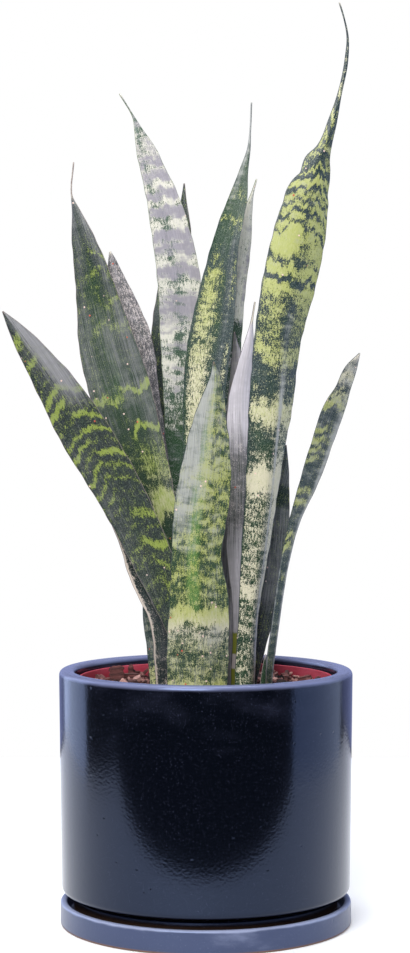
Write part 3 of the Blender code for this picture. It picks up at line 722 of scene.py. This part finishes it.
leaf(
    "leaf_left_low", "leaf_dark",
    foot_y=-28, tip_y=-42, facing=-22, turn=0, fold=0.22, thick=5.0,
    stations=[
        (0, -5.6, 15.0), (40, -13.0, 20.3), (78, -28.9, 26.1), (120, -49.2, 29.7),
        (158, -71.9, 30.7), (180, -85.3, 25.4), (195, -95.6, 19.0), (210, -106.4, 11.6),
        (223, -116.1, 1.0),
    ],
    waver=0.45,
    ground=((0, 0.00), (60, 0.05), (120, -0.05), (223, 0.00)),
    bands=[
        (211, 2.4, 5, 0.8, 0.1), (203, 1.5, 5, 0.2, 0.5), (198, 1.9, 5, 0.7, 0.5),
        (191, 1.6, 5, 0.3, 0.5), (180, 1.9, 6, 0.8, 0.9), (173, 2.0, 6, 1.0, 0.3),
        (164, 1.6, 6, 0.4, 1.0), (156, 1.4, 7, 0.7, 1.0), (150, 1.4, 7, 0.9, 0.3),
        (144, 1.7, 8, 0.4, 1.0), (137, 1.6, 8, 0.8, 0.6), (129, 1.6, 8, 0.7, 0.4),
        (109, 3.0, 8, 0.0, 0.65), (92, 2.8, 8, 0.3, 0.95), (80, 2.4, 8, 0.0, 0.6),
        (67, 2.8, 8, 0.0, 0.6), (54, 3, 8, 0.0, 0.4), (122, 1.3, 8, 0.5, 0.2), (115, 1.2, 8, 0.4, 0.0),
        (102, 1.2, 8, 0.3, 0.4), (86, 1.2, 8, 0.35, 0.1), (73, 1.2, 8, 0.3, 0.3),
        (61, 1.2, 8, 0.3, 0.3),
        (168.5, 1.1, 6, 0.3, 0.4), (186, 1.0, 6, 0.4, 0.4), (207, 1.0, 5, 0.4, 0.3),
    ],
    fresh=((0, 0.5), (110, 0.30), (223, 0.1)),
    bloom_and_sheen=((0, 0.05), (150, 0.15), (185, 0.2), (223, 0.2)),
    # The grey stripe on the right towards the tip is a painted sheen.
    bloom_and_sheen_stripes=[(0.60, 0.72, ((172, 0.60), (222, 0.5))), (0.55, 0.15, ((40, -0.7), (150, -0.7)))],
    scars=((0, 0.01), (223, 0.01)), dry=2.0,
)
leaf(
    "leaf_left_broad", "leaf_dark",
    foot_y=4, tip_y=26, facing=-24, turn=0, fold=0.22, thick=5.0,
    stations=[
        (0, -16.6, 15.0), (60, -22.5, 21.4), (115, -31.4, 31.0), (145, -39.9, 36.4),
        (177, -49.4, 40.7), (207, -58.3, 37.6), (230, -63.5, 30.1), (252, -68.6, 22.6),
        (274, -74.6, 13.4), (287, -78.0, 5.4), (294, -80.2, 1.7), (316, -79.6, 1.0),
    ],
    ground=((0, 0.05), (98, 0.00), (120, 0.20), (146, 0.20), (154, -0.10), (200, 0.00),
            (240, 0.10), (272, -0.05), (316, -0.1)),
    bands=[
        (178, 2.0, 0, 0.2, 1.0), (173, 2.4, -4, 0.7, 0.1), (155, 2.0, 2, 0.1, 1.1),
        (133, 9, 0, -0.1, 0.30), (110, 8, 0, -0.3, 1.0), (232, 1.8, 4, 0.0, 0.35),
        (217, 3.0, 5, 0.2, 0.3), (250, 1.8, 4, 0.1, 0.4), (262, 1.8, 4, 0.0, 0.5),
    ],
    cream=((0, 0.3), (122, 0.3), (150, 0.0), (290, 0.0), (294, 0.5), (316, 0.5)),
    fresh=((0, 0.7), (150, 0.7), (205, 0.6), (270, 0.3), (316, 0.2)),
    fresh_stripes=[(0.45, 0.5, ((160, -0.1), (255, 0.0)))],
    # The grey from 160 mm up, and the stripes along both margins, are mostly painted sheen.
    bloom_and_sheen=((0, 0.02), (130, 0.06), (160, 0.18), (215, 0.24), (240, 0.12), (272, 0.20), (292, 0.40)),
    bloom_and_sheen_stripes=[(0.40, 0.16, ((150, -0.85), (288, -0.6))), (0.30, 0.24, ((110, 0.80), (286, 0.72))),
                  (0.24, 0.24, ((165, 0.20), (222, 0.10)))],
    scars=((0, 0.0), (140, 0.02), (225, 0.03), (316, 0.0)), dry=23.0,
)
leaf(
    "leaf_left_rear", "leaf_grey",
    foot_y=14, tip_y=33, facing=8, turn=0, fold=-0.18, thick=4.5,
    stations=[
        (0, -21.1, 12.9), (60, -24.1, 16.9), (120, -30.1, 20.0), (175, -38.3, 22.0),
        (211, -43.0, 20.6), (234, -50.2, 15.1), (249, -54.9, 9.6), (258, -56.8, 4.6),
        (263, -58.0, 1.0),
    ],
    ground=((0, 0.1), (190, 0.15), (215, 0.35), (245, 0.35), (263, 0.2)),
    cream=((0, 0.8),), fresh=((0, 0.3),),
    bloom_and_sheen=((0, 0.28), (200, 0.22), (225, 0.30), (263, 0.30)), dry=3.0,
)
leaf(
    "leaf_pale_tall", "leaf_pale",
    foot_y=29, tip_y=54, facing=26, turn=0, fold=0.20, thick=5.0,
    stations=[
        (0, -6.4, 15.3), (60, -9.4, 19.6), (120, -13.5, 24.0), (173, -14.5, 26.8),
        (211, -16.0, 27.9), (251, -17.6, 29.3), (275, -21.8, 26.6), (297, -27.0, 21.8),
        (314, -32.8, 16.9), (328, -37.5, 12.6), (338, -41.2, 6.1), (345, -43.7, 2.2),
        (361, -52.9, 1.0),
    ],
    ground=((0, 0.4), (120, 0.45), (130, -0.3), (153, -0.3), (157, 0.35), (163, 0.0), (170, 0.5),
            (176, 0.05), (184, 0.65), (230, 0.80), (300, 0.85), (335, 0.6), (345, 0.0), (361, 0.0)),
    stripes=[(0.30, -0.50, ((186, -0.05), (245, -0.1), (300, -0.35))),
             (0.16, -0.35, ((290, -0.7), (345, -0.5))), (0.2, 0.3, ((250, 0.5), (320, 0.4)))],
    bands=[(217, 5, 3, 0.4, 0.0), (204, 3, 3, -0.3, -0.1), (196, 2.5, 3, 0.3, 0.2)],
    cream=((0, 0.7), (361, 0.85)),
    fresh=((0, 0.8), (156, 0.9), (180, 0.6), (220, 0.3), (361, 0.3)),
    bloom_and_sheen=((0, 0.1), (155, 0.05), (190, 0.25), (250, 0.38), (361, 0.35)),
    bloom_and_sheen_stripes=[(0.5, 0.2, ((200, 0.55), (320, 0.6)))],
    bloom_and_sheen_bands=[
        (319, 2.5, 2, 0.4, 0.4), (310, 3, 2, 0.3, 0.5), (305, 2, 2, -0.4, -0.3), (299, 3, 2, 0.4, 0.5),
        (294, 2, 2, -0.4, -0.4), (288, 3.5, 2, 0.4, 0.5), (281, 3, 2, -0.5, -0.5),
        (274, 3.5, 2, 0.5, 0.5), (266, 2.5, 2, 0.3, 0.5), (259, 2.5, 2, -0.5, -0.4),
        (252, 3.5, 2, 0.5, 0.4), (243, 3, 2, -0.6, -0.5), (230, 7, 2, 0.3, 0.4),
        (212, 3, 2, -0.4, -0.4), (198, 3, 2, -0.4, -0.4),
    ], dry=4.0, waver=0.6,
)
leaf(
    "leaf_dark_rear", "leaf_dark",
    foot_y=44, tip_y=70, facing=-18, turn=0, fold=0.15, thick=4.0,
    stations=[
        (0, -11.8, 12.6), (80, -14.8, 17.9), (160, -18.9, 25.3), (213, -20.1, 28.6),
        (239, -18.3, 25.0), (267, -16.0, 17.6), (285, -14.2, 9.4), (298, -13.7, 3.7),
        (308, -13.4, 1.0),
    ],
    ground=((0, 0.1), (270, 0.0), (308, 0.05)), fresh=((0, 0.3),),
    bloom_and_sheen=((0, 0.2), (308, 0.0)), dry=1.0,
)
leaf(
    "leaf_centre_tall", "leaf_banded",
    foot_y=9, tip_y=20, facing=-22, turn=0, fold=0.22, thick=5.0,
    stations=[
        (0, 1.3, 14.8), (80, -0.6, 22.2), (155, -0.1, 28.0), (173, -0.3, 27.5),
        (197, 1.6, 28.6), (221, 5.1, 27.0), (244, 8.7, 23.0), (262, 11.3, 18.6),
        (280, 15.7, 15.4), (292, 19.1, 12.7), (311, 23.0, 5.5), (323, 25.7, 2.3),
        (334, 26.6, 1.0), (351, 27.3, 1.0),
    ],
    ground=((0, 0.1), (120, -0.3), (270, -0.40), (290, -0.2), (351, 0.1)),
    stripes=[
        (0.68, 1.05, ((100, -0.46), (225, -0.42), (260, -0.36))),
        (0.14, 0.75, ((150, 0.62), (212, 0.86))), (0.20, 0.60, ((228, 0.72), (264, 0.86))),
        (0.08, -0.6, ((110, -0.97), (270, -0.95))),
    ],
    bands=[
        (282, 1.8, 2, 0.8, 0.7), (277, 2.5, 2, 0.25, 0.45), (300, 2.5, 3, 0.2, 0.4),
        (258, 1.6, 8, -0.6, 0.0), (213, 1.6, 10, -0.6, 0.0), (240, 1.4, -6, -0.3, 0.0),
        (296, 2, 3, 0.1, 0.4),
    ],
    cream=((0, 0.7), (185, 0.65), (210, 0.40), (250, 0.10), (310, 0.2), (351, 0.9)),
    fresh=((0, 0.7), (262, 0.45), (285, 0.8), (340, 0.6)),
    fresh_stripes=[(0.3, -0.7, ((100, 0.7), (270, 0.7)))],
    bloom_and_sheen=((0, 0.0), (275, 0.0), (300, 0.1), (325, 0.4), (334, 1.3), (351, 1.3)),
    bloom_and_sheen_stripes=[(0.5, 0.30, ((290, -0.6), (330, -0.3))), (0.12, 0.25, ((170, 0.55), (275, 0.65)))],
    dry=1.0,
)
leaf(
    "leaf_narrow_pale", "leaf_pale",
    foot_y=29, tip_y=46, facing=28, turn=0, fold=0.15, thick=4.0,
    stations=[
        (0, 8.8, 11.0), (100, 11.8, 14.3), (209, 14.5, 16.0), (246, 17.6, 16.0),
        (270, 22.1, 12.7), (288, 25.5, 6.6), (299, 28.3, 2.2), (308, 31.0, 1.0),
    ],
    ground=((0, 0.3), (200, 0.2), (205, -0.1), (220, -0.1), (224, 1.2), (232, 1.1), (236, 0.8),
            (262, 0.8), (270, 1.2), (308, 1.0)),
    bands=[(246, 3, 8, 0.4, 0.6), (257, 3, 8, 0.4, 0.6), (240, 2, 8, 0.2, 0.4)],
    cream=((0, 0.7), (308, 0.8)), fresh=((0, 0.9), (222, 0.9), (235, 0.5), (308, 0.4)),
    bloom_and_sheen=((0, 0.0), (308, 0.12)), bloom_and_sheen_stripes=[(0.2, 0.5, ((225, 0.85), (280, 0.85)))], dry=3.0,
)
leaf(
    "leaf_tallest", "leaf_banded",
    foot_y=-26, tip_y=-4, facing=35, turn=-20, fold=-0.35, thick=5.5,
    stations=[
        (0, 24.0, 15.0), (56, 26.8, 15.2), (80, 29.5, 18.6), (116, 33.7, 22.4),
        (145, 36.7, 25.7), (174, 40.0, 29.5), (209, 43.6, 31.2), (244, 50.8, 34.5),
        (266, 55.5, 34.1), (283, 58.8, 30.4), (295, 61.3, 26.1), (301, 63.8, 21.1),
        (312, 66.0, 16.4), (318, 68.6, 10.8), (337, 74.6, 5.6), (350, 77.9, 3.0),
        (372, 82.4, 2.4), (387, 83.0, 1.3), (397, 81.0, 1.0), (406, 78.4, 1.0),
    ],
    ground=((0, 0.30), (55, 0.36), (112, 0.38), (122, 0.50), (200, 0.32), (225, 0.50), (250, 0.68),
            (275, 0.88), (304, 0.72), (314, 0.30), (350, 0.20), (406, 0.0)),
    bands=[
        (126, 6.5, 0, 0.7, 0.7), (146, 11, -2, -0.40, -0.25), (165, 6.5, 0, 0.50, 0.50),
        (183, 9, -3, -0.42, -0.20), (198, 6, 0, 0.35, 0.3), (62, 5, 0, 0.45, 0.4),
        (236, 4, 0, 0.35, 0.35), (241.5, 1.6, 0, -0.9, -0.8), (247, 3.0, 0, 0.4, 0.4),
        (253, 2.0, 0, -0.5, -0.3), (264, 8, 0, 0.55, 0.05), (276, 1.2, 7, -0.8, -0.9),
        (284, 1.1, 8, -0.9, -0.9), (291, 1.2, 8, -0.7, -0.8), (298, 1.4, 8, -1.0, -1.0),
        (306, 2.4, 9, -0.9, -0.9), (301.5, 2.2, 9, 0.4, 0.5), (314, 2.2, 10, -0.9, -0.8),
        (310, 2.0, 10, 0.2, 0.3), (322, 2.6, -8, 0.3, 0.1), (328, 2.5, -8, -0.6, -0.6),
        (334, 3.0, -8, 0.5, 0.1), (342, 2.5, -8, -0.6, -0.6), (350, 3.0, -8, 0.6, 0.3),
    ],
    stripes=[(0.24, -0.50, ((205, 0.12), (262, 0.12))), (0.10, -0.55, ((262, 0.0), (292, 0.05))),
             (0.28, 0.50, ((20, 0.95), (110, 0.80), (150, 0.75))),
             (0.05, -0.5, ((60, -0.98), (330, -0.97)))],
    cream=((0, 0.75), (64, 0.85), (135, 0.80), (172, 0.50), (205, 0.20), (270, 0.10), (330, 0.15),
           (350, 0.5), (406, 0.8)),
    fresh=((0, 0.75), (120, 0.60), (190, 0.2), (406, 0.1)),
    # Its grey from 200 mm to 310 mm is a painted sheen.
    bloom_and_sheen=((0, 0.0), (200, 0.0), (262, 0.14), (290, 0.20), (312, 0.05), (406, 0.0)),
    bloom_and_sheen_stripes=[(0.10, 0.75, ((0, 0.78), (50, 0.60), (158, 0.30), (180, 0.24))),
                  (0.25, 0.35, ((170, 0.25), (225, 0.22)))],
    dry=3.0,
)
leaf(
    "leaf_grey_centre", "leaf_grey",
    foot_y=-7, tip_y=4, facing=16, turn=0, fold=-0.18, thick=4.5,
    stations=[
        (0, 20.8, 12.5), (56, 23.0, 15.6), (84, 21.3, 18.7), (114, 21.8, 18.2),
        (143, 21.3, 17.7), (173, 20.8, 15.4), (191, 22.8, 10.2), (208, 25.8, 5.6),
        (219, 27.2, 1.7), (231, 29.1, 1.0),
    ],
    ground=((0, 1.2), (33, 1.2), (37, 0.1), (231, 0.1)),
    cream=((0, -0.6), (13, -0.6), (15, 1.2), (22, 1.2), (24, -0.6), (33, -0.4), (40, 0.7), (231, 0.7)),
    # Its grey is partly the underside's own colour and partly painted sheen, raised low down where the
    # leaf stands in shade and near the top.
    bloom_and_sheen=((0, -0.6), (33, -0.6), (37, 1.1), (75, 1.0), (105, 0.30), (135, 0.32), (180, 1.1),
          (205, 1.1), (231, 0.6)),
    bloom_and_sheen_stripes=[(0.3, 0.2, ((150, 0.3), (200, 0.2)))], dry=14.0,
)
leaf(
    "leaf_grey_rear", "leaf_grey",
    foot_y=16, tip_y=24, facing=-20, turn=0, fold=-0.15, thick=4.0,
    stations=[
        (0, 12.9, 10.5), (80, 14.9, 12.6), (143, 17.4, 12.6), (173, 17.7, 10.5),
        (185, 18.3, 8.9), (200, 18.7, 6.8), (208, 17.7, 3.2), (214, 17.3, 1.0),
    ],
    ground=((0, 0.1),), bloom_and_sheen=((0, 0.55),), dry=2.0,
)
leaf(
    "leaf_right_low", "leaf_banded",
    foot_y=-24, tip_y=-46, facing=50, turn=-15, fold=0.30, thick=4.5,
    stations=[
        (0, 34.9, 8.1), (45, 40.1, 7.0), (80, 45.4, 7.8), (103, 50.8, 9.2),
        (126, 58.8, 14.6), (150, 66.6, 16.9), (167, 72.4, 16.9), (178, 77.5, 11.9),
        (190, 82.3, 8.9), (199, 87.6, 1.0),
    ],
    ground=((0, 0.5), (8, 0.30), (14, 0.05), (130, 0.0), (175, 0.05), (182, 0.3), (199, 0.5)),
    bands=[
        (188, 2.5, 4, 0.6, 0.6), (179, 2.0, 5, 0.6, 0.5), (173, 3.0, 5, 1.0, 0.6),
        (157, 1.8, 4, 1.0, 0.4), (151, 2.2, 4, 1.0, 0.5), (145.5, 1.6, 4, 0.8, 0.35),
        (140, 1.8, 4, 0.7, 0.3), (122, 2.4, 3, 0.6, 0.5), (115, 2.4, 3, 0.75, 0.5),
        (96, 2.0, 4, 0.8, 0.5), (90, 2.4, 4, 0.8, 0.4), (70, 1.5, 3, 0.3, 0.3),
    ],
    cream=((0, 0.1), (170, 0.1), (182, 0.7), (199, 0.8)), fresh=((0, 0.5), (100, 0.2), (199, 0.0)),
    bloom_and_sheen=((0, 0.15), (120, 0.25), (178, 0.30), (199, 0.6)), waver=0.5,
    bloom_and_sheen_stripes=[(0.25, 0.45, ((0, 0.85), (170, 0.85))), (0.2, 0.35, ((0, -0.9), (80, -0.9)))],
    scars=((0, 0.0), (140, 0.0), (150, 0.04), (199, 0.03)), dry=5.0,
)
leaf(
    "leaf_dark_right", "leaf_dark",
    foot_y=4, tip_y=20, facing=20, turn=0, fold=0.20, thick=4.5,
    stations=[
        (0, 23.8, 11.5), (24, 28.8, 12.6), (54, 35.8, 15.7), (90, 39.9, 21.0),
        (113, 41.7, 17.9), (131, 45.7, 9.1), (146, 48.1, 1.0),
    ],
    ground=((0, 0.0),), fresh=((0, 0.1), (112, 0.3), (146, 0.0)),
    bloom_and_sheen=((0, 0.1), (45, 0.2), (55, 0.42), (108, 0.42), (112, 0.0), (120, 0.0), (124, 0.45),
          (146, 0.1)),
    dry=1.0,
)
leaf(
    "leaf_left_base", "leaf_dark",
    foot_y=-13, tip_y=-6, facing=30, turn=0, fold=0.35, thick=4.5,
    stations=[
        (0, -24.0, 14.0), (20, -23.8, 18.0), (44, -26.0, 19.0), (70, -37.0, 20.0),
        (92, -47.1, 12.0), (108, -57.2, 4.0), (114, -60.3, 1.0),
    ],
    ground=((0, 0.0), (60, 0.1), (114, 0.2)),
    stripes=[(0.13, 2.0, ((0, -1.0), (114, -1.0)))],
    cream=((0, 1.6),), fresh=((0, 0.1), (60, 0.2), (114, 0.6)),
    bloom_and_sheen=((0, -0.2), (14, -0.2), (20, 0.25), (60, 0.2), (80, 0.0)), dry=3.0,
)
leaf(
    "leaf_stub_left", "leaf_banded",
    foot_y=0, tip_y=5, facing=-25, turn=0, fold=0.20, thick=4.0,
    stations=[
        (0, -26.1, 14.1), (30, -29.4, 13.1), (44, -33.4, 8.7), (53, -36.1, 3.3), (56, -37.2, 1.0),
    ],
    ground=((0, 0.6), (15, 0.45), (20, 0.0), (56, 0.0)), cream=((0, 0.3),), fresh=((0, 0.3),),
    bloom_and_sheen=((0, 0.1), (56, 0.35)), dry=1.5,
)
leaf(
    "shoot_dark", "leaf_dark",
    foot_y=-37, tip_y=-38, facing=0, turn=0, fold=0.00, thick=3.5,
    stations=[(0, 32.6, 4.0), (10, 33.0, 3.4), (20, 33.8, 2.2), (26, 34.4, 1.0)],
    ground=((0, -0.8),), fresh=((0, 0.9),), bloom_and_sheen=((0, -0.6), (20, -0.6), (26, 1.2)), dry=0.5,
)

# Loose bark: crumbs of composted bark over the whole top of the mix, and six larger flakes that
# lie behind the leaves, at the left and the right. They are loose, and keep off the leaves' feet.
CRUMBS = 2600
CRUMB_REACH = NURSERY_RADIUS - NURSERY_WALL - 0.0010
CRUMB_CLEAR = 0.0016
FLAKE_ROWS, FLAKE_AROUND = 41, 72
FLAKE_POWER = 0.45
FLAKE_SHARE = 0.96  # of its box that a flake fills
MILLIMETRE = 0.001


def turn_matrices(spin, lean, roll):
    """Turns: a roll about the long side, then a lean upwards, then a spin about the upright."""
    (cs, ss), (cl, sl), (cr, sr) = ((np.cos(a), np.sin(a)) for a in (spin, lean, roll))
    one, none = np.ones_like(cs), np.zeros_like(cs)
    about_z = np.array([[cs, -ss, none], [ss, cs, none], [none, none, one]])
    about_y = np.array([[cl, none, -sl], [none, one, none], [sl, none, cl]])
    about_x = np.array([[one, none, none], [none, cr, -sr], [none, sr, cr]])
    return np.einsum("ijn,jkn,kln->nil", about_z, about_y, about_x)


# Each crumb is the same worn block with its own length, breadth, thickness and turn. They lie
# evenly over the round of the soil, at any height from the soil to the top of the heap.
dice = np.random.default_rng(11)
crumb = bmesh.new()
bmesh.ops.create_cube(crumb, size=1.0)
bmesh.ops.bevel(crumb, geom=crumb.edges[:], offset=0.16, segments=1, affect="EDGES")
bmesh.ops.triangulate(crumb, faces=crumb.faces[:])
crumb_mesh = bpy.data.meshes.new("crumb")
crumb.to_mesh(crumb_mesh)
crumb.free()
crumb_points = np.empty((len(crumb_mesh.vertices), 3), np.float32)
crumb_mesh.vertices.foreach_get("co", crumb_points.ravel())
crumb_faces = np.empty((len(crumb_mesh.polygons), 3), np.int32)
crumb_mesh.polygons.foreach_get("vertices", crumb_faces.ravel())
bpy.data.meshes.remove(crumb_mesh)

turn = dice.uniform(0, 2 * np.pi, CRUMBS)
length = dice.gamma(4.0, 0.00075, CRUMBS).clip(0.0012, 0.0085)
breadth = length * dice.uniform(0.25, 0.75, CRUMBS)
thick = breadth * dice.uniform(0.25, 0.8, CRUMBS)
out = np.minimum(np.sqrt(dice.uniform(0, 1, CRUMBS)) * CRUMB_REACH, CRUMB_REACH - length / 2)
lying = np.stack([out * np.cos(turn), out * np.sin(turn)], axis=1)
heap = 0.0020 + 0.0036 * (out / CRUMB_REACH) ** 4
heap += 0.0012 * np.sin(lying[:, 0] / 0.009 + 1.0) * np.cos(lying[:, 1] / 0.011)
up = SOIL_TOP + dice.uniform(0.0, 1.0, CRUMBS) * heap + thick / 2
turns = turn_matrices(
    dice.uniform(0, 2 * np.pi, CRUMBS), dice.normal(0, 0.35, CRUMBS), dice.normal(0, 0.5, CRUMBS)
)
shade = dice.beta(1.2, 2.1, CRUMBS)
uneven = dice.uniform(0.75, 1.15, (CRUMBS, len(crumb_points), 3))
free = np.ones(CRUMBS, bool)
for foot, across, half in leaf_feet:
    away = lying - foot[:2]
    side = np.clip(away @ across[:2], -half, half)
    gap = np.linalg.norm(away - side[:, None] * across[None, :2], axis=1)
    free &= gap > CRUMB_CLEAR + length / 2
block = crumb_points * uneven * np.stack([length, breadth, thick], axis=1)[:, None, :]
points = np.einsum("nij,nkj->nki", turns, block) + np.column_stack([lying, up])[:, None, :]
points = points[free]
count = len(points)
faces = crumb_faces + np.arange(count)[:, None, None] * len(crumb_points)
marks = {"shade": np.repeat(shade[free], len(crumb_points))}
crumbs = make_piece("bark_crumbs", points, faces.reshape(-1, 3), bark, marks)
crumbs.data.shade_flat()
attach(crumbs, "root")


def flake(name, size, lean, spin, pale):
    """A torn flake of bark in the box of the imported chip: a superellipsoid, x = a cos(e) cos(q)
    with every power at FLAKE_POWER, whose radius is stepped along its thickness like bark's layers and
    roughened by waves that differ from flake to flake."""
    low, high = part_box(name)
    q = np.linspace(0, 2 * np.pi, FLAKE_AROUND, endpoint=False)
    e = np.linspace(-np.pi / 2, np.pi / 2, FLAKE_ROWS)[:, None]

    def squared(value):
        return np.sign(value) * np.abs(value) ** FLAKE_POWER

    side, rise = squared(np.cos(e)), squared(np.sin(e))
    seed = dice.uniform(0, 9, 6)
    steps = 0.07 * np.sign(np.sin(rise * 9 + seed[0])) * (np.abs(rise) < 0.97)
    rough = 0.05 * np.sin(5 * q + seed[1] + 3 * rise) + 0.04 * np.sin(11 * q + seed[2] - 5 * rise)
    radius = 0.90 + steps + rough + 0.03 * np.sin(23 * q + seed[3] + 9 * rise)
    taper = 1 - 0.18 * (1 + np.cos(q))
    shape = np.stack([
        radius * side * squared(np.cos(q)),
        radius * side * squared(np.sin(q)) * taper,
        rise * (1 + 0.05 * np.sin(4 * q + seed[4])) + 0 * q,
    ], axis=-1)
    shape[0], shape[-1] = shape[0].mean(axis=0), shape[-1].mean(axis=0)
    shape *= np.array(size) * MILLIMETRE / 2 * FLAKE_SHARE
    matrix = turn_matrices(np.radians([spin]), np.radians([lean]), np.zeros(1))[0]
    points = shape @ matrix.T
    middle = (points.reshape(-1, 3).max(axis=0) + points.reshape(-1, 3).min(axis=0)) / 2
    points += np.array((low + high) / 2) - middle
    layer = pale + 0.12 * np.sin(rise * 9 + seed[5]) + 0 * q
    faces = grid_faces(FLAKE_ROWS, FLAKE_AROUND)
    piece = make_piece(name + "_flake", points, faces, bark, {"shade": layer})
    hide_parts(name)
    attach(piece, "root")


flake("bark_chip_1", (10.0, 3.2, 10.5), 6, -8, 0.34)
flake("bark_chip_2", (13.5, 4.6, 5.0), 4, -4, 0.30)
flake("bark_chip_3", (3.6, 2.6, 10.0), 0, 10, 0.34)
flake("bark_chip_4", (10.0, 5.0, 6.0), 12, 8, 0.35)
flake("bark_chip_5", (8.0, 4.5, 4.0), 10, 20, 0.60)
flake("bark_chip_6", (8.0, 4.5, 4.6), 8, 40, 0.45)
